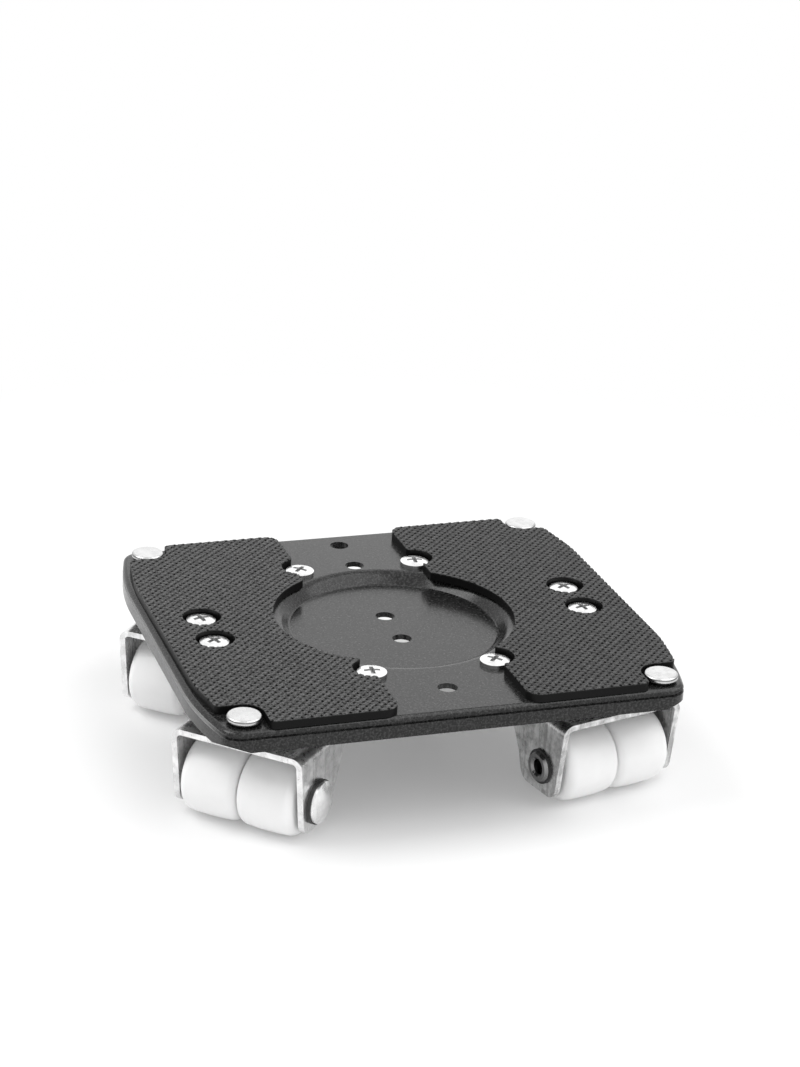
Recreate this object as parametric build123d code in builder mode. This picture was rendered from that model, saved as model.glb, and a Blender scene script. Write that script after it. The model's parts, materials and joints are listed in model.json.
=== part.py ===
"""Appliance mobile base: a pressed steel deck with two grip mats, on four twin-wheel swivel casters."""
from build123d import *
from math import atan2, copysign, degrees, floor, hypot, sqrt
import os

os.makedirs("parts", exist_ok=True)

# Heights above the floor
wheel_radius = 14.0
leg_bottom = 4.2
fork_top = 34.5
deck_top = 46.5

# Deck plate, pressed from one sheet
deck_sheet = 2.0
deck_half_x = 88.0
deck_half_y = 78.5
side_bend_y = 56.0  # the straight side turns in about here
side_bend_radius = 120.0
corner_half_x = 81.7  # the turned-in stretch meets the front or back edge here
corner_radius = 7.0
outline_shift_x = -0.5  # the outline as trimmed, against the holes
flange_depth = 7.6
shoulder_radius = 2.0
groove_drop = 1.4
groove_width = 1.5
groove_depth = 0.8
corner_lift_start = 108.2  # from the deck's centre, along a diagonal
corner_lift_run = 4.8
corner_lift = 2.8

# Dish and free holes in the deck
dish_top_radius = 42.0
dish_floor_radius = 38.0
dish_depth = 4.0
dish_wall_spread = 0.9  # the dish's outside is this much wider than its inside a sheet higher up
dish_rim_radius = 5.0
dish_foot_radius = 1.0
free_hole_radius = 3.5
dish_hole_y = 10.0
rear_hole_ys = (48.5, 68.5)
front_hole_y = -60.0

# Fixing points of one caster, in the quarter where both signs are positive
rivet_x, rivet_y = 75.0, 70.3
dish_screw_x, dish_screw_y = 22.6, 45.0
side_screw_x, side_screw_y = 69.6, 9.6

# Corner rivets
rivet_radius = 3.0
rivet_head_radius = 6.0
rivet_head_height = 2.2
rivet_edge_radius = 0.9
rivet_neck_radius = 4.2
rivet_neck_height = 0.7
rivet_tail_radius = 4.6
rivet_tail_height = 1.6
rivet_tail_taper = 0.8

# Mounting screws and nuts
screw_radius = 2.5
screw_head_radius = 5.25
screw_rim_height = 1.4
screw_crown_height = 2.2
screw_tip = 37.4
recess_arm_length = 5.8
recess_arm_width = 1.6
recess_depth = 1.5
recess_taper = 12.0
recess_turn = 20.0  # from the line that runs to the deck's centre
nut_across_flats = 8.0
nut_height = 4.0
screw_play = 0.25
clamped_play = 0.05  # between a rivet, nut or washer and what it is closed on

# Grip mats
mat_thickness = 3.2
mat_inner_x = 23.6
mat_outer_x = 86.8
mat_bend_y = 43.0
mat_end_x = 81.5
mat_half_y = 76.4
mat_bend_radius = 80.0
mat_inner_corner_radius = 5.0
mat_waist_x = 25.2  # inner edge between the dish and the screw behind it
mat_dish_radius = 40.5
mat_dish_screw_radius = 6.9
mat_side_screw_radius = 7.0
mat_side_screw_shift_y = -1.2  # the mats' holes against the screws
mat_rivet_gap = 7.1
mat_notch_size = 20.0
mat_tip_radius = 2.0
mat_cusp_radius = 0.8
mat_pad_pitch = 2.37  # between the rows of small pads on the mats
mat_rows_per_groove = 3  # the main grooves part the pads in bands of this many rows
mat_groove_width = 0.5
mat_groove_depth = 0.55
mat_groove_angle = 45.0
mat_groove_shortest = 4.0
mat_groove_margin = 0.6  # plain rim round each mat's top, less than the cusps' rounding
# Side, shift across, shift back and turn of each mat as glued, and the middle of its cut-out round the dish
mats = {"left_mat": (-1, 0.4, -1.1, 0.5, -4.2, -2.6), "right_mat": (1, -1.0, -2.0, 0.6, 1.8, -4.6)}

# Caster: mount plate, kingpin and swivel bearing
plate_sheet = 2.2
plate_hub_radius = 22.0
plate_arm_width = 11.6
cup_radius = 8.5
cup_depth = 2.5
kingpin_radius = 5.0
kingpin_head_radius = 8.2
kingpin_head_height = 2.3
kingpin_washer_radius = 9.0
kingpin_washer_height = 1.6
kingpin_end_radius = 7.0
kingpin_end_height = 1.9
kingpin_end_taper = 1.5
swivel_gap = 0.5  # between the fork's underside and the kingpin's washer
race_inner_radius = 11.2
race_outer_radius = 20.0
race_height = 1.5
ball_radius = 3.0
ball_pitch_radius = 15.6
ball_count = 12
ball_sink = 0.6  # how deep the balls sit in the lower race
upper_ball_play = 0.3
lower_ball_play = 0.02
running_play = 0.05  # between a shaft and what turns on it

# Caster: fork; distances ahead of or behind the kingpin
fork_sheet = 2.2
fork_half_width = 25.0
fork_bend_radius = 4.0
fork_hub_radius = 20.0
fork_front_top = 29.0
fork_front_low = 25.2
fork_back = 6.5
leg_back_low = 5.0
leg_back_mid = 2.9
leg_back_mid_height = 13.0
leg_front_radius = 5.0
leg_back_radius = 5.5
trail = 16.5

# Caster: axle, washers and wheels
axle_radius = 4.0
axle_play = 0.1
axle_head_radius = 7.5
axle_rim_height = 1.0
axle_dome_height = 1.8
axle_tail_radius = 5.6
axle_tail_height = 1.2
axle_tail_taper = 0.6
axle_bore_radius = 2.8
axle_bore_flare = 0.8
axle_bore_depth = 8.0
head_washer_radius = 7.9
head_washer_height = 1.4
tail_washer_radius = 6.3
tail_washer_height = 0.8
wheel_inner_end = 0.25
wheel_outer_end = 21.4
wheel_end_radius = 13.35
wheel_inner_round = 3.2
wheel_outer_round = 3.4

# Each caster's quarter, and the angle of its axle at rest
casters = {
    "front_left": (-1, -1, -43.2),
    "front_right": (1, -1, 13.6),
    "rear_left": (-1, 1, -40.5),
    "rear_right": (1, 1, 43.2),
}

# Worked out from the values above
quarters = [(sx, sy) for sx, sy, angle in casters.values()]
deck_under = deck_top - deck_sheet
flange_bottom = deck_top - flange_depth
plate_bottom = deck_under - plate_sheet
cup_floor = deck_under - cup_depth
kingpin_x = (rivet_x + dish_screw_x + side_screw_x) / 3
kingpin_y = (rivet_y + dish_screw_y + side_screw_y) / 3
fork_under = fork_top - fork_sheet
kingpin_washer_low = fork_under - swivel_gap - kingpin_washer_height
ball_height = fork_top + race_height - ball_sink + ball_radius
mat_groove_pitch = mat_pad_pitch * mat_rows_per_groove
mat_groove_reach = (deck_half_x + deck_half_y) / sqrt(2)
same_place = 0.001


def mirrored(x, y, height=0.0):
    """One point in each quarter of the deck."""
    return [(sx * x, sy * y, height) for sx, sy in quarters]


def is_at(value, distance):
    """True for a coordinate at this distance on either side of the deck's centre line."""
    return abs(abs(value) - distance) < same_place


def is_on_circle(vertex, x, y, radius):
    """True for a vertex on the circle of this radius about this point."""
    return abs(hypot(vertex.X - x, vertex.Y - y) - radius) < same_place


def save(name, piece):
    """Labels a finished piece and writes it to its file."""
    piece.label = name
    export_step(piece, f"parts/{name}.step")


# Deck plan: straight sides that turn in towards rounded corners
right_edge = [
    (corner_half_x, -deck_half_y),
    (deck_half_x, -side_bend_y),
    (deck_half_x, side_bend_y),
    (corner_half_x, deck_half_y),
]
left_edge = [(-x, y) for x, y in reversed(right_edge)]
with BuildSketch() as deck_plan:
    with BuildLine():
        Polyline(*[(x + outline_shift_x, y) for x, y in right_edge + left_edge], close=True)
    make_face()
    fillet(deck_plan.vertices().filter_by(lambda v: is_at(v.Y, deck_half_y)), radius=corner_radius)
    fillet(deck_plan.vertices().filter_by(lambda v: is_at(v.Y, side_bend_y)), radius=side_bend_radius)


# Deck plate: a shallow pan with a grooved rim, a dish in the middle and lifted corners
with BuildPart() as deck_plate:
    with BuildSketch(Plane.XY.offset(flange_bottom)):
        add(deck_plan.sketch)
    extrude(amount=flange_depth)
    fillet(deck_plate.faces().sort_by(Axis.Z)[-1].edges(), radius=shoulder_radius)
    with BuildSketch(Plane.XY.offset(flange_bottom)):
        offset(deck_plan.sketch, amount=-deck_sheet)
    extrude(amount=flange_depth - deck_sheet, mode=Mode.SUBTRACT)
    with BuildSketch(Plane.XY.offset(deck_top - groove_drop - groove_width)):
        offset(deck_plan.sketch, amount=deck_sheet)
        offset(deck_plan.sketch, amount=-groove_depth, mode=Mode.SUBTRACT)
    extrude(amount=groove_width, mode=Mode.SUBTRACT)
    with BuildSketch(Plane.XZ):
        with BuildLine():
            Polyline(
                (0, deck_under),
                (dish_top_radius + dish_wall_spread, deck_under),
                (dish_floor_radius + dish_wall_spread, deck_under - dish_depth),
                (0, deck_under - dish_depth),
                close=True,
            )
        make_face()
    revolve(axis=Axis.Z)
    with BuildSketch(Plane.XZ):
        with BuildLine():
            Polyline(
                (0, deck_top),
                (dish_top_radius, deck_top),
                (dish_floor_radius, deck_top - dish_depth),
                (0, deck_top - dish_depth),
                close=True,
            )
        make_face()
    revolve(axis=Axis.Z, mode=Mode.SUBTRACT)
    for ring_radius, rounding in ((dish_top_radius, dish_rim_radius), (dish_floor_radius, dish_foot_radius)):
        rings = deck_plate.edges().filter_by(GeomType.CIRCLE)
        fillet(rings.filter_by(lambda e: e.radius == ring_radius), radius=rounding)
    for sx, sy in quarters:
        with BuildSketch(Plane(origin=(0, 0, flange_bottom), x_dir=(sx, sy, 0), z_dir=(sy, -sx, 0))):
            with BuildLine():
                Polyline(
                    (corner_lift_start, 0),
                    (corner_lift_start + corner_lift_run, corner_lift),
                    (corner_lift_start + corner_lift_run, -corner_lift),
                    (corner_lift_start, -corner_lift),
                    close=True,
                )
            make_face()
        extrude(amount=deck_half_y / 2, both=True, mode=Mode.SUBTRACT)
    with Locations(*[(0, y, deck_top) for y in (-dish_hole_y, dish_hole_y, front_hole_y, *rear_hole_ys)]):
        Hole(radius=free_hole_radius)
    with Locations(*mirrored(rivet_x, rivet_y, deck_top)):
        Hole(radius=rivet_radius + clamped_play)
    with Locations(
        *mirrored(dish_screw_x, dish_screw_y, deck_top),
        *mirrored(side_screw_x, side_screw_y, deck_top),
    ):
        CounterSinkHole(
            radius=screw_radius + screw_play,
            counter_sink_radius=screw_head_radius + clamped_play,
            counter_sink_angle=90,
        )
save("deck_plate", deck_plate.part)


# Main grooves of the grip pattern: straight lines across the whole deck, at a slant
with BuildSketch() as groove_lines:
    with Locations(Location((0, 0, 0), (0, 0, mat_groove_angle))):
        with GridLocations(1, mat_groove_pitch, 1, 2 * floor(mat_groove_reach / mat_groove_pitch) + 1):
            Rectangle(2 * mat_groove_reach, mat_groove_width)


def make_mat(side, shift_x, shift_y, turn, dish_x, dish_y):
    """One grooved mat, glued a little off its nominal place and cut out round its neighbours."""
    edge = [
        (mat_inner_x, -mat_half_y),
        (mat_end_x, -mat_half_y),
        (mat_outer_x, -mat_bend_y),
        (mat_outer_x, mat_bend_y),
        (mat_end_x, mat_half_y),
        (mat_inner_x, mat_half_y),
    ]
    with BuildSketch() as blank:
        with BuildLine():
            Polyline(*[(side * x, y) for x, y in edge], close=True)
        make_face()
        fillet(blank.vertices().filter_by(lambda v: is_at(v.X, mat_inner_x)), radius=mat_inner_corner_radius)
        fillet(blank.vertices().filter_by(lambda v: is_at(v.X, mat_outer_x)), radius=mat_bend_radius)
        with Locations((side * mat_waist_x / 2, dish_screw_y / 2)):
            Rectangle(mat_waist_x, dish_screw_y, mode=Mode.SUBTRACT)

    notch_x = rivet_x - mat_rivet_gap
    notch_y = rivet_y - mat_rivet_gap
    notch_centre_x = side * (notch_x + mat_notch_size / 2)
    notch_centre_y = notch_y + mat_notch_size / 2
    with BuildPart() as mat:
        with BuildSketch(Plane.XY.offset(deck_top)) as plan:
            add(blank.sketch.moved(Location((shift_x, shift_y, 0), (0, 0, turn))))
            with Locations((notch_centre_x, -notch_centre_y), (notch_centre_x, notch_centre_y)):
                Rectangle(mat_notch_size, mat_notch_size, mode=Mode.SUBTRACT)
            tips = plan.vertices().filter_by(lambda v: is_at(v.X, notch_x) != is_at(v.Y, notch_y))
            fillet(tips, radius=mat_tip_radius)
            corners = plan.vertices().filter_by(lambda v: is_at(v.X, notch_x) and is_at(v.Y, notch_y))
            fillet(corners, radius=mat_rivet_gap)
            with Locations((dish_x, dish_y)):
                Circle(mat_dish_radius, mode=Mode.SUBTRACT)
            side_hole_ys = [y + mat_side_screw_shift_y for y in (-side_screw_y, side_screw_y)]
            with Locations(*[(side * side_screw_x, y) for y in side_hole_ys]):
                Circle(mat_side_screw_radius, mode=Mode.SUBTRACT)
            with Locations((side * dish_screw_x, -dish_screw_y), (side * dish_screw_x, dish_screw_y)):
                Circle(mat_dish_screw_radius, mode=Mode.SUBTRACT)
            cusps = plan.vertices().filter_by(lambda v: is_on_circle(v, dish_x, dish_y, mat_dish_radius))
            fillet(cusps, radius=mat_cusp_radius)
            beyond = plan.vertices().filter_by(lambda v: abs(v.Y) > dish_screw_y)
            screw_x = side * dish_screw_x
            round_screw = beyond.filter_by(
                lambda v: is_on_circle(v, screw_x, copysign(dish_screw_y, v.Y), mat_dish_screw_radius)
            )
            fillet(round_screw, radius=mat_tip_radius)
        extrude(amount=mat_thickness)
        with BuildSketch(mode=Mode.PRIVATE) as strips:
            offset(plan.sketch_local, amount=-mat_groove_margin)
            add(groove_lines.sketch, mode=Mode.INTERSECT)
        with BuildSketch(Plane.XY.offset(deck_top + mat_thickness)):
            for strip in strips.faces():
                length = strip.area / mat_groove_width - mat_groove_width
                if length > mat_groove_shortest:
                    with Locations(strip.center()):
                        Rectangle(length, mat_groove_width, rotation=mat_groove_angle)
        extrude(amount=-mat_groove_depth, mode=Mode.SUBTRACT)
    return mat.part


for name, place in mats.items():
    save(name, make_mat(*place))


# Corner rivets, through the deck and the mount plates
rivet_head_low = deck_top + rivet_neck_height
rivet_head_top = rivet_head_low + rivet_head_height
with BuildPart() as rivet:
    with BuildSketch(Plane.XZ) as profile:
        with BuildLine():
            Polyline(
                (0, plate_bottom - rivet_tail_height),
                (rivet_tail_radius - rivet_tail_taper, plate_bottom - rivet_tail_height),
                (rivet_tail_radius, plate_bottom),
                (rivet_radius, plate_bottom),
                (rivet_radius, deck_top),
                (rivet_neck_radius, deck_top),
                (rivet_neck_radius, rivet_head_low),
                (rivet_head_radius, rivet_head_low),
                (rivet_head_radius, rivet_head_top),
                (0, rivet_head_top),
                close=True,
            )
        make_face()
        rims = profile.vertices().filter_by(lambda v: is_at(v.X, rivet_head_radius))
        fillet(rims, radius=rivet_edge_radius)
    revolve(axis=Axis.Z)
with BuildPart() as corner_rivets:
    with Locations(*mirrored(rivet_x, rivet_y)):
        add(rivet.part)
save("corner_rivets", corner_rivets.part)


# Mounting screws: raised countersunk head with a cross recess
screw_rim = deck_top + screw_rim_height
screw_crown = deck_top + screw_crown_height
with BuildPart() as screw:
    with BuildSketch(Plane.XZ):
        with BuildLine():
            Polyline(
                (0, screw_crown),
                (0, screw_tip),
                (screw_radius, screw_tip),
                (screw_radius, deck_top - screw_head_radius + screw_radius),
                (screw_head_radius, deck_top),
                (screw_head_radius, screw_rim),
            )
            TangentArc((0, screw_crown), (screw_head_radius, screw_rim), tangent=(1, 0))
        make_face()
    revolve(axis=Axis.Z)
    with BuildSketch(Plane.XY.offset(screw_crown)):
        Rectangle(recess_arm_length, recess_arm_width)
        Rectangle(recess_arm_width, recess_arm_length)
    extrude(amount=-recess_depth, taper=recess_taper, mode=Mode.SUBTRACT)
with BuildPart() as mount_screws:
    for x, y, z in mirrored(dish_screw_x, dish_screw_y) + mirrored(side_screw_x, side_screw_y):
        with Locations(Location((x, y, z), (0, 0, degrees(atan2(y, x)) + recess_turn))):
            add(screw.part)
save("mount_screws", mount_screws.part)


# Nuts under the mount plates
with BuildPart() as mount_nuts:
    with BuildSketch(Plane.XY.offset(plate_bottom - nut_height)):
        with Locations(*mirrored(dish_screw_x, dish_screw_y), *mirrored(side_screw_x, side_screw_y)):
            RegularPolygon(nut_across_flats / 2, 6, major_radius=False)
            Circle(screw_radius + clamped_play, mode=Mode.SUBTRACT)
    extrude(amount=nut_height)
save("mount_nuts", mount_nuts.part)


def make_mount_plate(sx, sy):
    """Three-armed plate under one quarter of the deck, with a pressed cup for the kingpin's head."""
    centre_x = sx * kingpin_x
    centre_y = sy * kingpin_y
    rivet_place = (sx * rivet_x, sy * rivet_y)
    screw_places = [(sx * dish_screw_x, sy * dish_screw_y), (sx * side_screw_x, sy * side_screw_y)]
    with BuildPart() as plate:
        with BuildSketch(Plane.XY.offset(plate_bottom)):
            with Locations((centre_x, centre_y)):
                Circle(plate_hub_radius)
            for x, y in [rivet_place, *screw_places]:
                reach = hypot(x - centre_x, y - centre_y)
                direction = degrees(atan2(y - centre_y, x - centre_x))
                with Locations(((x + centre_x) / 2, (y + centre_y) / 2)):
                    SlotCenterToCenter(reach, plate_arm_width, rotation=direction)
        extrude(amount=plate_sheet)
        with BuildSketch(Plane.XY.offset(cup_floor - plate_sheet)):
            with Locations((centre_x, centre_y)):
                Circle(cup_radius + plate_sheet)
        extrude(amount=cup_depth)
        with BuildSketch(Plane.XY.offset(cup_floor)):
            with Locations((centre_x, centre_y)):
                Circle(cup_radius)
        extrude(amount=cup_depth, mode=Mode.SUBTRACT)
        with Locations((centre_x, centre_y, deck_under)):
            Hole(radius=kingpin_radius + clamped_play)
        with Locations((*rivet_place, deck_under)):
            Hole(radius=rivet_radius + clamped_play)
        with Locations(*[(*place, deck_under) for place in screw_places]):
            CounterSinkHole(
                radius=screw_radius + screw_play,
                counter_sink_radius=screw_head_radius - deck_sheet + clamped_play,
                counter_sink_angle=90,
            )
    return plate.part


# From here to the placing, a caster stands on its kingpin's axis: X across, Y back, Z up

# Kingpin: flat head in the cup, shank down through the fork, spread end below the washer
with BuildPart() as kingpin:
    with BuildSketch(Plane.XZ):
        with BuildLine():
            Polyline(
                (0, cup_floor + kingpin_head_height),
                (kingpin_head_radius, cup_floor + kingpin_head_height),
                (kingpin_head_radius, cup_floor),
                (kingpin_radius, cup_floor),
                (kingpin_radius, kingpin_washer_low),
                (kingpin_end_radius, kingpin_washer_low),
                (kingpin_end_radius - kingpin_end_taper, kingpin_washer_low - kingpin_end_height),
                (0, kingpin_washer_low - kingpin_end_height),
                close=True,
            )
        make_face()
    revolve(axis=Axis.Z)


# Washer that keeps the fork on the kingpin
with BuildPart() as kingpin_washer:
    with BuildSketch(Plane.XY.offset(kingpin_washer_low)):
        Circle(kingpin_washer_radius)
        Circle(kingpin_radius + clamped_play, mode=Mode.SUBTRACT)
    extrude(amount=kingpin_washer_height)


def make_race(low, ball_play):
    """Bearing ring with a rolled groove for the balls."""
    with BuildPart() as race:
        with BuildSketch(Plane.XY.offset(low)):
            Circle(race_outer_radius)
            Circle(race_inner_radius, mode=Mode.SUBTRACT)
        extrude(amount=race_height)
        with BuildSketch(Plane.XZ):
            with Locations((ball_pitch_radius, ball_height)):
                Circle(ball_radius + ball_play)
        revolve(axis=Axis.Z, mode=Mode.SUBTRACT)
    return race.part


upper_race = make_race(plate_bottom - race_height, upper_ball_play)
lower_race = make_race(fork_top, lower_ball_play)


# Ring of balls between the races
with BuildPart(Plane.XY.offset(ball_height)) as bearing_balls:
    with PolarLocations(ball_pitch_radius, ball_count):
        Sphere(ball_radius)


# Fork: a sheet bent into a channel, with a round hub at the kingpin and two legs down to the axle
with BuildPart() as fork:
    with BuildSketch(Plane.XZ.offset(-fork_hub_radius)) as channel:
        with Locations((0, fork_top / 2)):
            Rectangle(2 * fork_half_width, fork_top)
        fillet(channel.vertices().filter_by(lambda v: is_at(v.Y, fork_top)), radius=fork_bend_radius)
    extrude(amount=fork_hub_radius + fork_front_top)
    with BuildSketch(Plane.XZ.offset(-fork_hub_radius)) as inside:
        with Locations((0, fork_under / 2)):
            Rectangle(2 * (fork_half_width - fork_sheet), fork_under)
        inside_corners = inside.vertices().filter_by(lambda v: is_at(v.Y, fork_under))
        fillet(inside_corners, radius=fork_bend_radius - fork_sheet)
    extrude(amount=fork_hub_radius + fork_front_top, mode=Mode.SUBTRACT)
    with BuildSketch(Plane.YZ) as side_view:
        with BuildLine():
            Polyline(
                (-fork_front_top, fork_top),
                (-fork_front_low, leg_bottom),
                (-leg_back_low, leg_bottom),
                (-leg_back_mid, leg_back_mid_height),
                (fork_back, fork_under),
                (fork_hub_radius, fork_under),
                (fork_hub_radius, fork_top),
                close=True,
            )
        make_face()
        fillet(side_view.vertices().filter_by(lambda v: is_at(v.X, fork_front_low)), radius=leg_front_radius)
        fillet(side_view.vertices().filter_by(lambda v: is_at(v.X, leg_back_low)), radius=leg_back_radius)
    extrude(amount=fork_half_width, both=True, mode=Mode.INTERSECT)
    with BuildSketch():
        Circle(fork_hub_radius)
        with Locations((0, (fork_back - fork_front_top) / 2)):
            Rectangle(2 * fork_half_width, fork_back + fork_front_top)
    extrude(amount=fork_top, mode=Mode.INTERSECT)
    with Locations((0, 0, fork_top)):
        Hole(radius=kingpin_radius + running_play)
    with BuildSketch(Plane.YZ):
        with Locations((-trail, wheel_radius)):
            Circle(axle_radius + axle_play)
    extrude(amount=fork_half_width, both=True, mode=Mode.SUBTRACT)


# What turns round the axle is drawn on an upright plane through it: across, distance from the axle
axle_plane = Plane(origin=(0, -trail, wheel_radius), x_dir=(1, 0, 0), z_dir=(0, -1, 0))
axle_line = Axis((0, -trail, wheel_radius), (1, 0, 0))


# Axle: a rivet through both legs, with a domed head and a hollow spread end
tail_inside = -fork_half_width - tail_washer_height
tail_outside = tail_inside - axle_tail_height
head_inside = fork_half_width + head_washer_height
head_rim = head_inside + axle_rim_height
head_crown = head_rim + axle_dome_height
with BuildPart() as axle:
    with BuildSketch(axle_plane):
        with BuildLine():
            Polyline(
                (head_crown, 0),
                (tail_outside, 0),
                (tail_outside, axle_tail_radius - axle_tail_taper),
                (tail_inside, axle_tail_radius),
                (tail_inside, axle_radius),
                (head_inside, axle_radius),
                (head_inside, axle_head_radius),
                (head_rim, axle_head_radius),
            )
            TangentArc((head_crown, 0), (head_rim, axle_head_radius), tangent=(0, 1))
        make_face()
    revolve(axis=axle_line)
    with BuildSketch(axle_plane):
        with BuildLine():
            Polyline(
                (tail_outside, 0),
                (tail_outside, axle_bore_radius + axle_bore_flare),
                (tail_outside + axle_bore_flare, axle_bore_radius),
                (tail_outside + axle_bore_depth, axle_bore_radius),
                (tail_outside + axle_bore_depth, 0),
                close=True,
            )
        make_face()
    revolve(axis=axle_line, mode=Mode.SUBTRACT)


# Washers under the axle's head and its spread end
with BuildPart() as axle_washers:
    with BuildSketch(Plane.YZ.offset(fork_half_width)):
        with Locations((-trail, wheel_radius)):
            Circle(head_washer_radius)
            Circle(axle_radius + axle_play, mode=Mode.SUBTRACT)
    extrude(amount=head_washer_height)
    with BuildSketch(Plane.YZ.offset(-fork_half_width)):
        with Locations((-trail, wheel_radius)):
            Circle(tail_washer_radius)
            Circle(axle_radius + axle_play, mode=Mode.SUBTRACT)
    extrude(amount=-tail_washer_height)


# Wheel on the axle's head side: a crowned barrel, rounder at its outer end
with BuildPart() as wheel_right:
    with BuildSketch(axle_plane) as profile:
        with BuildLine():
            Polyline(
                (wheel_inner_end, wheel_end_radius),
                (wheel_inner_end, axle_radius + running_play),
                (wheel_outer_end, axle_radius + running_play),
                (wheel_outer_end, wheel_end_radius),
            )
            ThreePointArc(
                (wheel_inner_end, wheel_end_radius),
                ((wheel_inner_end + wheel_outer_end) / 2, wheel_radius),
                (wheel_outer_end, wheel_end_radius),
            )
        make_face()
        rims = profile.vertices().filter_by(lambda v: is_at(v.Y, wheel_end_radius)).sort_by(Axis.X)
        fillet(rims[0], radius=wheel_inner_round)
        rims = profile.vertices().filter_by(lambda v: is_at(v.Y, wheel_end_radius)).sort_by(Axis.X)
        fillet(rims[-1], radius=wheel_outer_round)
    revolve(axis=axle_line)


# Wheel on the axle's tail side
with BuildPart() as wheel_left:
    add(wheel_right.part)
    mirror(about=Plane.YZ, mode=Mode.REPLACE)


# Placing: each caster under its quarter of the deck, turned to its angle at rest
pieces = {
    "kingpin": kingpin.part,
    "kingpin_washer": kingpin_washer.part,
    "upper_race": upper_race,
    "lower_race": lower_race,
    "bearing_balls": bearing_balls.part,
    "fork": fork.part,
    "axle": axle.part,
    "axle_washers": axle_washers.part,
    "wheel_left": wheel_left.part,
    "wheel_right": wheel_right.part,
}
for quarter, (sx, sy, angle) in casters.items():
    save(f"{quarter}_mount_plate", make_mount_plate(sx, sy))
    stand = Location((sx * kingpin_x, sy * kingpin_y, 0), (0, 0, angle))
    for name, piece in pieces.items():
        save(f"{quarter}_{name}", piece.moved(stand))
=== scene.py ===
"""Looks of the appliance mobile base: grip mats, powder coat, zinc plate and nylon, in a white studio."""
import json
import math
import random

import bmesh
import bpy
from mathutils import Matrix, Vector


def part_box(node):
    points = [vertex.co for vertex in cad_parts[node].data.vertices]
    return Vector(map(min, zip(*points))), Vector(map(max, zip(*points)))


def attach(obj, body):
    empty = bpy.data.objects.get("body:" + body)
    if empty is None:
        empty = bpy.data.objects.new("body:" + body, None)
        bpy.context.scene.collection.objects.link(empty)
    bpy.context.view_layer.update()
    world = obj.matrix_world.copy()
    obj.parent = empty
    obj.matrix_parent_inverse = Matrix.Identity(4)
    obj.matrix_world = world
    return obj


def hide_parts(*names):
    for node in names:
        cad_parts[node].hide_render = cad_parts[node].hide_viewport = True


MM = 0.001

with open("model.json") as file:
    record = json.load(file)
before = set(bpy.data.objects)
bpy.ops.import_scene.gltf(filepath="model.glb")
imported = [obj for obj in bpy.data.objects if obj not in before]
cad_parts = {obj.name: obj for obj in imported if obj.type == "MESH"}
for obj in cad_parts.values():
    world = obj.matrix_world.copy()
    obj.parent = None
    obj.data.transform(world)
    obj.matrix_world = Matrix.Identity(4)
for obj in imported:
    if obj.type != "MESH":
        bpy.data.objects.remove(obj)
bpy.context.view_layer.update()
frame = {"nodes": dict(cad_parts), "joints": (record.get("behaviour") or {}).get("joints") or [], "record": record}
nodes = frame["nodes"]
scene = bpy.context.scene
deck_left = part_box("deck_plate")[0].x
deck_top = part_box("left_mat")[0].z
mat_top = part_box("left_mat")[1].z

# Grip mats: small pads in slanted rows, parted by shallow grooves with a pit at each crossing
pad_pitch = 2.37 * MM
pad_row_angle = math.radians(45)
row_floor_width = 0.50 * MM
row_groove_depth = 0.20 * MM
cross_floor_width = 0.70 * MM
cross_groove_depth = 0.10 * MM
groove_slope = 0.25 * MM  # each groove is this much wider on both sides at its top
pit_depth = 1.00 * MM
least_pit = 0.3  # the shallowest pits, as a share of the deepest
pad_wear = 0.05 * MM  # the most that a point of the top is worn down
pad_seed = 7
shade_black_depth = 0.50 * MM  # from this far below the pads' tops down, the rubber is painted fully black as shade
speck_shade_half = 20.0 * MM  # the pads' specks are painted darker, as shade, from this far left of the middle to as far right

# Groove below the deck's shoulder, with painted light along the left side
rim_groove_middle = deck_top - 2.15 * MM
rim_groove_half = 0.80 * MM
groove_light_from = deck_left + 6.5 * MM
groove_light_full = deck_left + 2.5 * MM

# Zinc: streaks to a metre along each axis, close together across and long upwards
streak_scale = (550, 550, 30)
axle_fade = 1.0 * MM  # an axle's bright end meets its end with painted shade over this far on both sides of the middle

# Rivets' heads: painted shade where they meet the deck, and a painted dark reflection line round the upper edge
rivet_shade_full = deck_top + 0.5 * MM
rivet_shade_end = deck_top + 1.3 * MM
rivet_reflection_line = deck_top + 2.3 * MM
rivet_reflection_line_half = 0.4 * MM

# Screws' heads, in one quarter of the deck that the others mirror, with painted shade below their domes
screw_places = ((22.6 * MM, 45.0 * MM), (69.6 * MM, 9.6 * MM))
screw_head_radius = 5.25 * MM
screw_rim = deck_top + 1.4 * MM
screw_crown = deck_top + 2.2 * MM
screw_shade_from = 0.03 * MM
screw_shade_full = 0.15 * MM

# Wheels: how far light spreads in the nylon
nylon_soak = 3.0 * MM

# Camera, as fitted to the photograph
image_height_px = 1067
focal_length_px = 2683
camera_target = Vector((0.4, -0.8, 79.6)) * MM
camera_distance = 960 * MM
camera_azimuth = math.radians(-19.15)
camera_pitch = math.radians(22.36)
camera_roll = math.radians(2.94)
camera_nearest = 10 * MM
sensor_mm = 36  # on the picture's longer side, its height

# Studio, in metres and watts
floor_half = 3.0
floor_white_from = 0.09  # beyond this distance from the middle the floor fades to pure white
floor_white_at = 0.40
floor_white_least = 0.2  # share of pure white within the first distance
air_light = 0.63
lamp_aim = Vector((0, 0, 0.03))
lamps = {
    "key": {"place": (-0.75, 0.20, 1.00), "size": 0.7, "power": 7.0},
    "top": {"place": (0.62, -0.28, 1.00), "size": 1.2, "power": 8.5},
    "front": {"place": (-0.10, -1.10, 0.45), "size": 0.9, "power": 0.9},
    "back": {"place": (0.40, 1.14, 0.50), "size": 0.9, "power": 1.1},
}

# Places of the colour sockets on Blender's mix node, whose names repeat
mix_amount = 0
mix_first = 6
mix_second = 7
mix_result = 2

# Most of a noise lies between these values
noise_low = 0.3
noise_high = 0.7


# Building materials and pieces

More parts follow.
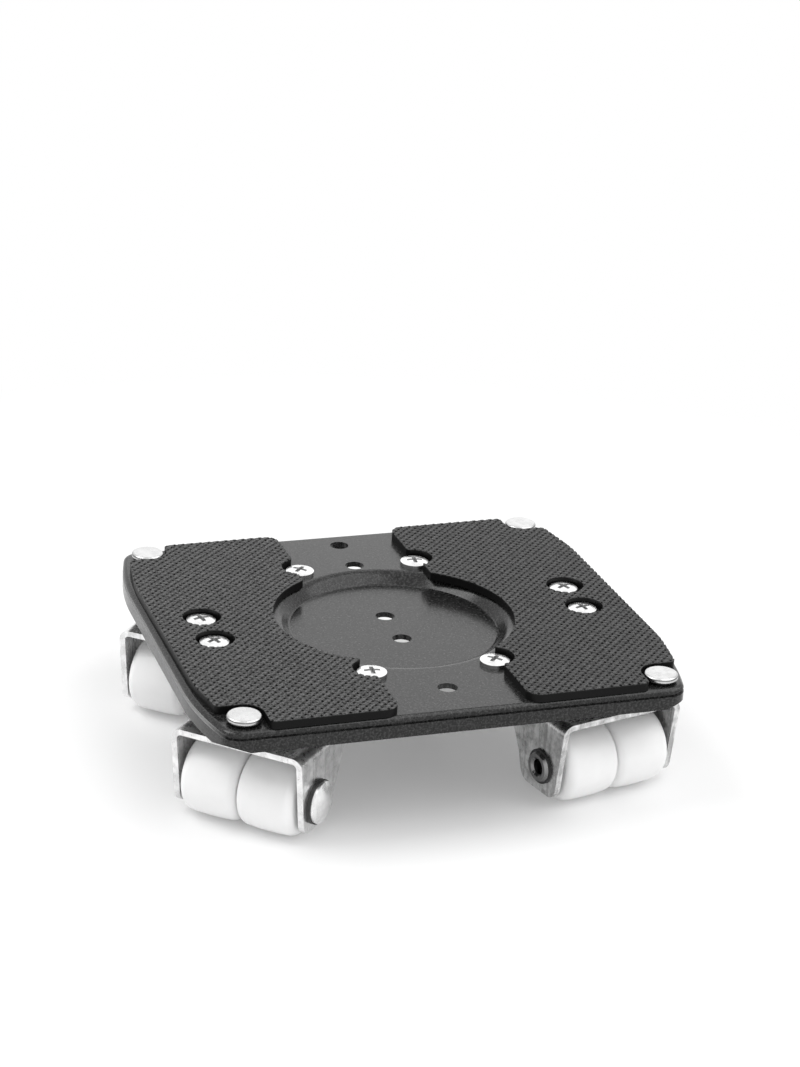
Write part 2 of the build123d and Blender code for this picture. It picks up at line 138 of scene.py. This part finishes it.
class Painter:
    """A new node material or world, with short calls to add nodes and join them."""

    def __init__(self, block, shader="Principled BSDF"):
        block.use_nodes = True
        self.tree = block.node_tree
        self.shader = self.tree.nodes[shader]
        self.block = block

    def add(self, kind, inputs=None, **settings):
        """Adds a node; inputs are numbers, colours or other nodes' outputs, by socket name or place."""
        node = self.tree.nodes.new(kind)
        for key, value in settings.items():
            setattr(node, key, value)
        for key, value in (inputs or {}).items():
            self.feed(node.inputs[key], value)
        return node

    def feed(self, socket, value):
        """Sets a socket to a value, or links it to an output."""
        if isinstance(value, bpy.types.NodeSocket):
            self.tree.links.new(value, socket)
        else:
            socket.default_value = value

    def set(self, **inputs):
        """Feeds the shader's own sockets; an underscore in a name stands for a space."""
        for key, value in inputs.items():
            self.feed(self.shader.inputs[key.replace("_", " ")], value)

    def colour(self):
        """The output that the shader's base colour has come from so far."""
        return self.shader.inputs["Base Color"].links[0].from_socket

    def place(self):
        """The point on the surface, in metres in the part's own frame."""
        return self.add("ShaderNodeTexCoord").outputs["Object"]

    def axes(self):
        """The point on the surface, as separate outputs X, Y and Z."""
        return self.add("ShaderNodeSeparateXYZ", {"Vector": self.place()}).outputs

    def stretched(self, scale):
        """The point on the surface, scaled along each axis."""
        return self.add("ShaderNodeMapping", {"Vector": self.place(), "Scale": scale}).outputs["Vector"]

    def noise(self, size, detail=2.0, roughness=0.5, vector=None):
        """Noise from 0 to 1 with features of about this size in metres."""
        inputs = {"Vector": vector or self.place(), "Scale": 1 / size}
        inputs.update(Detail=detail, Roughness=roughness)
        return self.add("ShaderNodeTexNoise", inputs).outputs["Fac"]

    def ramp(self, value, low, high, low_to=0.0, high_to=1.0):
        """Stretches the part of a value between low and high over a new range."""
        inputs = {"Value": value, "From Min": low, "From Max": high, "To Min": low_to, "To Max": high_to}
        return self.add("ShaderNodeMapRange", inputs).outputs["Result"]

    def spread(self, noise, least, most):
        """Stretches the part of a noise where most of it lies over a new range."""
        return self.ramp(noise, noise_low, noise_high, least, most)

    def blend(self, amount, first, second, mode="MIX"):
        """Mixes two colours by an amount."""
        inputs = {mix_amount: amount, mix_first: first, mix_second: second}
        return self.add("ShaderNodeMix", inputs, data_type="RGBA", blend_type=mode).outputs[mix_result]

    def math(self, operation, *values):
        """One sum on plain numbers."""
        return self.add("ShaderNodeMath", dict(enumerate(values)), operation=operation).outputs["Value"]

    def vector_math(self, operation, *values):
        """One sum on points that gives a number."""
        return self.add("ShaderNodeVectorMath", dict(enumerate(values)), operation=operation).outputs["Value"]

    def bump(self, height, depth, under=None):
        """Turns a height from 0 to 1 into a tilt of the surface, depth in metres."""
        inputs = {"Height": height, "Distance": depth, "Strength": 1.0}
        if under is not None:
            inputs["Normal"] = under
        return self.add("ShaderNodeBump", inputs).outputs["Normal"]

    def shows_background(self):
        """1 for rays that show what is behind the part, straight, mirrored or through it, else 0."""
        path = self.add("ShaderNodeLightPath")
        seen = path.outputs["Is Camera Ray"]
        for kind in ("Is Glossy Ray", "Is Transmission Ray"):
            seen = self.math("MAXIMUM", seen, path.outputs[kind])
        return seen


def new_paint(name):
    """A painter for a new material."""
    return Painter(bpy.data.materials.new(name))


def grey(value):
    """An opaque grey."""
    return (value, value, value, 1.0)


def new_piece(name, data):
    """A new object in the scene."""
    piece = bpy.data.objects.new(name, data)
    scene.collection.objects.link(piece)
    return piece


def coat(piece, finish):
    """Gives a piece one finish."""
    piece.data.materials.clear()
    piece.data.materials.append(finish)


# Finishes

def powder_coat():
    """Dark satin powder coat, mottled lighter, with a little orange peel and painted light in the left groove."""
    paint = new_paint("powder_coat")
    black = grey(0.004)
    charcoal = grey(0.008)
    fleck = grey(0.060)
    dust_and_painted_light = grey(0.35)
    cloud = paint.noise(size=14 * MM, detail=3.0)
    grain = paint.noise(size=0.8 * MM, detail=3.0, roughness=0.6)
    body = paint.blend(cloud, black, charcoal)
    coated = paint.blend(paint.ramp(grain, low=0.45, high=0.75), body, fleck)
    axes = paint.axes()
    # Painted light: the groove below the shoulder turns light grey towards the left side
    in_groove = paint.math("COMPARE", axes["Z"], rim_groove_middle, rim_groove_half)
    dusty_and_painted_light = paint.math("MULTIPLY", in_groove, paint.ramp(axes["X"], groove_light_from, groove_light_full))
    paint.set(Base_Color=paint.blend(dusty_and_painted_light, coated, dust_and_painted_light), Specular_IOR_Level=0.32)
    paint.set(Roughness=paint.spread(paint.noise(size=1.1 * MM), least=0.16, most=0.26))
    paint.set(Normal=paint.bump(paint.noise(size=0.7 * MM), depth=0.03 * MM))
    return paint.block


def mat_rubber():
    """Black rubber: pads dusty grey with specks; grooves, pits and sides painted black as shade."""
    paint = new_paint("mat_rubber")
    black = grey(0.004)
    clean_unshaded = grey(0.014)
    dusty_and_painted_light = grey(0.032)
    left_lit_speck = grey(0.18)
    right_shaded_speck = grey(0.13)
    axes = paint.axes()
    dust_and_painted_light = paint.noise(size=3.2 * MM, detail=4.0)
    grain = paint.noise(size=0.6 * MM, detail=4.0, roughness=0.7)
    body = paint.blend(paint.ramp(dust_and_painted_light, low=0.35, high=0.75), clean_unshaded, dusty_and_painted_light)
    # Painted shade: the specks darken from left to right across the middle
    speck = paint.blend(paint.ramp(axes["X"], -speck_shade_half, speck_shade_half), left_lit_speck, right_shaded_speck)
    pad = paint.blend(paint.ramp(grain, low=0.44, high=0.70), body, speck)
    # Painted shade: the grooves, pits and sides turn black with depth below the pads' tops
    out_of_painted_shade = paint.ramp(axes["Z"], mat_top - shade_black_depth, mat_top - pad_wear)
    paint.set(Base_Color=paint.blend(out_of_painted_shade, black, pad), Specular_IOR_Level=0.11)
    paint.set(Roughness=paint.spread(grain, least=0.34, most=0.48))
    paint.set(Normal=paint.bump(grain, depth=0.06 * MM))
    return paint.block


def zinc_paint(name, dark, light):
    """Zinc on rolled steel: clouds from dark to light, faint drawn streaks and small scuffs."""
    paint = new_paint(name)
    streak = paint.noise(size=1.0, vector=paint.stretched(streak_scale))
    cloud = paint.noise(size=4 * MM, detail=5.0, roughness=0.6)
    scuff = paint.ramp(paint.noise(size=1.2 * MM, detail=5.0, roughness=0.65), low=0.62, high=0.78)
    body = paint.blend(paint.ramp(cloud, low=0.35, high=0.60), grey(dark), grey(light))
    drawn = paint.blend(paint.ramp(streak, low=0.30, high=0.50), grey(dark), body)
    paint.set(Base_Color=paint.blend(scuff, drawn, grey(dark)), Metallic=1.0)
    streak_rough = paint.spread(streak, least=0.20, most=0.30)
    cloud_rough = paint.spread(cloud, least=0.0, most=0.08)
    paint.set(Roughness=paint.math("ADD", streak_rough, cloud_rough))
    scuffed = paint.bump(scuff, depth=0.015 * MM)
    paint.set(Normal=paint.bump(streak, depth=0.010 * MM, under=scuffed))
    return paint


def zinc_plate():
    """Zinc of the folded forks and plates."""
    return zinc_paint("zinc_plate", dark=0.66, light=0.92).block


def shaded_zinc():
    """Zinc of the one fork painted darker, as shade."""
    return zinc_paint("shaded_zinc", dark=0.40, light=0.80).block


def zinc_axle(spin):
    """Zinc of the rivet that a wheel spins on: bright on its head, painted darker as shade on its hollow end."""
    paint = zinc_paint(spin["child"] + "_axle", dark=0.80, light=0.92)
    shade = grey(0.25)
    along = Vector(spin["axis"])
    middle = along.dot(Vector(spin["pos_m"]))
    reach = paint.vector_math("DOT_PRODUCT", paint.place(), along)
    is_head = paint.ramp(reach, middle - axle_fade, middle + axle_fade)
    # Painted shade: the hollow end's colour is darkened to a quarter
    shaded_colour = paint.blend(1.0, paint.colour(), shade, mode="MULTIPLY")
    paint.set(Base_Color=paint.blend(is_head, shaded_colour, paint.colour()))
    return paint.block


def zinc_rivet():
    """Bright zinc of the rivets' heads, with painted shade where they meet the deck and a painted dark reflection
    line round their edge.
    """
    paint = zinc_paint("zinc_rivet", dark=0.54, light=0.66)
    painted_shade = grey(0.05)
    dark_reflection = grey(0.12)
    height = paint.axes()["Z"]
    # Painted dark reflection: a grey line round the head's upper edge
    from_reflection_line = paint.math("ABSOLUTE", paint.math("SUBTRACT", height, rivet_reflection_line))
    with_reflection_line = paint.blend(paint.ramp(from_reflection_line, 0, rivet_reflection_line_half), dark_reflection, paint.colour())
    # Painted shade: dark where the head meets the deck
    clean_unshaded = paint.ramp(height, rivet_shade_full, rivet_shade_end)
    paint.set(Base_Color=paint.blend(clean_unshaded, painted_shade, with_reflection_line))
    return paint.block


def zinc_screw():
    """Bright zinc of the screws' heads, with painted shade in the crosses and where the heads meet the deck."""
    paint = zinc_paint("zinc_screw", dark=0.80, light=0.92)
    painted_shade = grey(0.45)
    axes = paint.axes()
    x = paint.math("ABSOLUTE", axes["X"])
    y = paint.math("ABSOLUTE", axes["Y"])
    quarter = paint.add("ShaderNodeCombineXYZ", {"X": x, "Y": y}).outputs["Vector"]
    distances = [paint.vector_math("DISTANCE", quarter, (*place, 0)) for place in screw_places]
    share = paint.ramp(paint.math("MINIMUM", *distances), 0, screw_head_radius)
    # A dome falls from crown to rim with the square of the distance from its middle
    dome = paint.ramp(paint.math("MULTIPLY", share, share), 0, 1, screw_crown, screw_rim)
    # Painted shade wherever the surface lies below the dome: in the crosses and under the rims
    sunk = paint.math("SUBTRACT", dome, axes["Z"])
    in_painted_shade = paint.ramp(sunk, screw_shade_from, screw_shade_full)
    paint.set(Base_Color=paint.blend(in_painted_shade, paint.colour(), painted_shade))
    return paint.block


def bearing_steel():
    """Darker steel with a film of grease."""
    paint = new_paint("bearing_steel")
    dark = grey(0.42)
    light = grey(0.58)
    grease = paint.noise(size=2.2 * MM, detail=3.0)
    paint.set(Base_Color=paint.blend(grease, dark, light), Metallic=1.0)
    paint.set(Roughness=paint.spread(grease, least=0.18, most=0.34))
    return paint.block


def black_washer():
    """Black oxide on steel, rubbed lighter in small spots."""
    paint = new_paint("black_washer")
    black = grey(0.012)
    worn = grey(0.040)
    rub = paint.noise(size=0.5 * MM, detail=3.0)
    paint.set(Base_Color=paint.blend(paint.ramp(rub, low=0.4, high=0.8), black, worn))
    paint.set(Roughness=paint.spread(rub, least=0.40, most=0.58))
    paint.set(Normal=paint.bump(rub, depth=0.02 * MM))
    return paint.block


def wheel_nylon():
    """White nylon: light soaks in a little, with faint clouds and a fine grain."""
    paint = new_paint("wheel_nylon")
    white = grey(0.86)
    whiter = grey(0.91)
    cloud = paint.noise(size=5 * MM, detail=3.0)
    fine = paint.noise(size=0.4 * MM)
    paint.set(Base_Color=paint.blend(cloud, white, whiter))
    paint.set(Roughness=paint.spread(fine, least=0.36, most=0.46))
    paint.set(Subsurface_Weight=0.35, Subsurface_Radius=(nylon_soak,) * 3, Subsurface_Scale=1.0)
    paint.set(Normal=paint.bump(fine, depth=0.008 * MM))
    return paint.block


# Each solid's finish: by its slot in the record, or by its own name where it differs from its slot
slot_finishes = {
    "deck_coat": powder_coat(),
    "mat_rubber": mat_rubber(),
    "zinc_plate": zinc_plate(),
    "bearing_steel": bearing_steel(),
    "black_washer": black_washer(),
    "wheel_nylon": wheel_nylon(),
}
node_finishes = {
    "corner_rivets": zinc_rivet(),
    "mount_screws": zinc_screw(),
    # This fork is painted darker, as shade
    "front_right_fork": shaded_zinc(),
}
axle_joint = "_wheel_left_spin"  # the end of the name of one joint along each axle
for joint in frame["joints"]:
    if joint["name"].endswith(axle_joint):
        node_finishes[joint["name"].replace(axle_joint, "_axle")] = zinc_axle(joint)

slot_of = {entry["node"]: entry["material_slot"] for entry in frame["record"]["subparts"]}
for name, piece in nodes.items():
    coat(piece, node_finishes.get(name, slot_finishes[slot_of[name]]))


# Grip mats

def groove_lines(places, floor_width):
    """Lines along one set of grooves: where each one is and whether it is on a groove's floor."""
    lines = []
    for step in range(math.floor(min(places) / pad_pitch), math.ceil(max(places) / pad_pitch) + 1):
        middle = step * pad_pitch
        lines.append((middle - floor_width / 2 - groove_slope, False))
        lines.append((middle - floor_width / 2, True))
        lines.append((middle + floor_width / 2, True))
        lines.append((middle + floor_width / 2 + groove_slope, False))
    return lines


def drop_at(in_cross_groove, in_row_groove, chance):
    """How far a point of a mat's top lies below the tops of unworn pads."""
    drop = chance.uniform(0, pad_wear)
    if in_cross_groove and in_row_groove:
        drop += pit_depth * chance.uniform(least_pit, 1)
    elif in_row_groove:
        drop += row_groove_depth
    elif in_cross_groove:
        drop += cross_groove_depth
    return drop


def grid_faces(rows, columns):
    """Faces with four corners between the points of a grid, which are listed row by row."""
    faces = []
    for row in range(rows - 1):
        for column in range(columns - 1):
            corner = row * columns + column
            faces.append((corner, corner + columns, corner + columns + 1, corner + 1))
    return faces


def grooved_sheet(name, low, high):
    """A sheet larger than one mat's top, with the pads on it, laid out from the deck's centre."""
    turn = Matrix.Rotation(pad_row_angle, 2)
    corners = [turn.inverted() @ Vector((x, y)) for x in (low.x, high.x) for y in (low.y, high.y)]
    cross_lines = groove_lines([corner.x for corner in corners], cross_floor_width)
    row_lines = groove_lines([corner.y for corner in corners], row_floor_width)
    chance = random.Random(pad_seed)
    points = []
    for along, in_cross_groove in cross_lines:
        for across, in_row_groove in row_lines:
            spot = turn @ Vector((along, across))
            drop = drop_at(in_cross_groove, in_row_groove, chance)
            points.append((spot.x, spot.y, high.z - drop))
    mesh = bpy.data.meshes.new(name)
    mesh.from_pydata(points, [], grid_faces(len(cross_lines), len(row_lines)))
    return new_piece(name, mesh)


def mat_underside(node, name):
    """The underside of a mat, as a mesh of its own."""
    low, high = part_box(node)
    middle = (low.z + high.z) / 2
    sheet = bmesh.new()
    sheet.from_mesh(nodes[node].data)
    upper = [face for face in sheet.faces if max(corner.co.z for corner in face.verts) > middle]
    bmesh.ops.delete(sheet, geom=upper, context="FACES")
    mesh = bpy.data.meshes.new(name)
    sheet.to_mesh(mesh)
    sheet.free()
    return mesh


def thicken(sheet, thickness):
    """Gives a sheet a thickness, on the side that it faces away from."""
    solid = sheet.modifiers.new("thickness", "SOLIDIFY")
    solid.thickness = thickness
    solid.offset = -1


def keep_inside(piece, slab):
    """Cuts away what lies outside a slab, and makes all of a piece's modifiers final."""
    cut = piece.modifiers.new("pads", "BOOLEAN")
    cut.operation = "INTERSECT"
    cut.solver = "EXACT"
    cut.object = slab
    bpy.context.view_layer.update()
    shaped = piece.evaluated_get(bpy.context.evaluated_depsgraph_get())
    finished = bpy.data.meshes.new_from_object(shaped)
    piece.modifiers.clear()
    piece.data = finished


def make_grip_mat(node):
    """Replaces a mat by one with all its pads and pits cut into its top."""
    low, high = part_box(node)
    thickness = high.z - low.z
    slab = grooved_sheet(node + "_pads", low, high)
    thicken(slab, 2 * thickness)  # deep enough to reach below the mat
    name = node + "_grip"
    mat = new_piece(name, mat_underside(node, name))
    thicken(mat, thickness)
    keep_inside(mat, slab)
    bpy.data.objects.remove(slab)
    coat(mat, slot_finishes["mat_rubber"])
    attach(mat, "deck")
    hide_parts(node)


for node in ("left_mat", "right_mat"):
    make_grip_mat(node)


# Studio

def make_world():
    """White studio air."""
    world = bpy.data.worlds.new("studio")
    air = Painter(world, "Background")
    strength = air.ramp(air.shows_background(), low=0.0, high=1.0, low_to=air_light, high_to=1.0)
    air.set(Color=grey(1.0), Strength=strength)
    scene.world = world


def floor_paint():
    """Near white, with the part's soft shadow on it, and pure white further out."""
    paint = new_paint("studio_floor")
    paint.set(Base_Color=grey(0.92), Roughness=0.9, Specular_IOR_Level=0.1)
    white = paint.add("ShaderNodeEmission", {"Color": grey(1.0), "Strength": 1.0}).outputs["Emission"]
    distance = paint.vector_math("LENGTH", paint.place())
    far = paint.ramp(distance, floor_white_from, floor_white_at, floor_white_least, 1.0)
    share = paint.math("MULTIPLY", far, paint.shows_background())
    inputs = {0: share, 1: paint.shader.outputs["BSDF"], 2: white}
    mixed = paint.add("ShaderNodeMixShader", inputs).outputs["Shader"]
    paint.feed(paint.tree.nodes["Material Output"].inputs["Surface"], mixed)
    return paint.block


def make_floor():
    """Pale floor under the wheels."""
    corners = [(x * floor_half, y * floor_half, 0) for x, y in ((-1, -1), (1, -1), (1, 1), (-1, 1))]
    mesh = bpy.data.meshes.new("floor")
    mesh.from_pydata(corners, [], [(0, 1, 2, 3)])
    floor = new_piece("floor", mesh)
    coat(floor, floor_paint())


def make_lamp(name, place, size, power):
    """A square soft box that faces the part."""
    lamp = bpy.data.lights.new(name, "AREA")
    lamp.size = size
    lamp.energy = power
    holder = new_piece(name, lamp)
    holder.location = place
    holder.rotation_euler = (lamp_aim - Vector(place)).to_track_quat("-Z", "Y").to_euler()


def make_camera():
    """The photograph's own view."""
    away = Vector((
        math.sin(camera_azimuth) * math.cos(camera_pitch),
        -math.cos(camera_azimuth) * math.cos(camera_pitch),
        math.sin(camera_pitch),
    ))
    lens = bpy.data.cameras.new("camera")
    lens.sensor_width = sensor_mm
    lens.lens = focal_length_px / image_height_px * sensor_mm
    lens.clip_start = camera_nearest
    camera = new_piece("camera", lens)
    turn = (-away).to_track_quat("-Z", "Y").to_matrix() @ Matrix.Rotation(camera_roll, 3, "Z")
    camera.matrix_world = Matrix.Translation(camera_target + away * camera_distance) @ turn.to_4x4()
    scene.camera = camera


make_world()
make_floor()
for name, lamp in lamps.items():
    make_lamp(name, **lamp)
make_camera()
scene.view_settings.view_transform = "Standard"
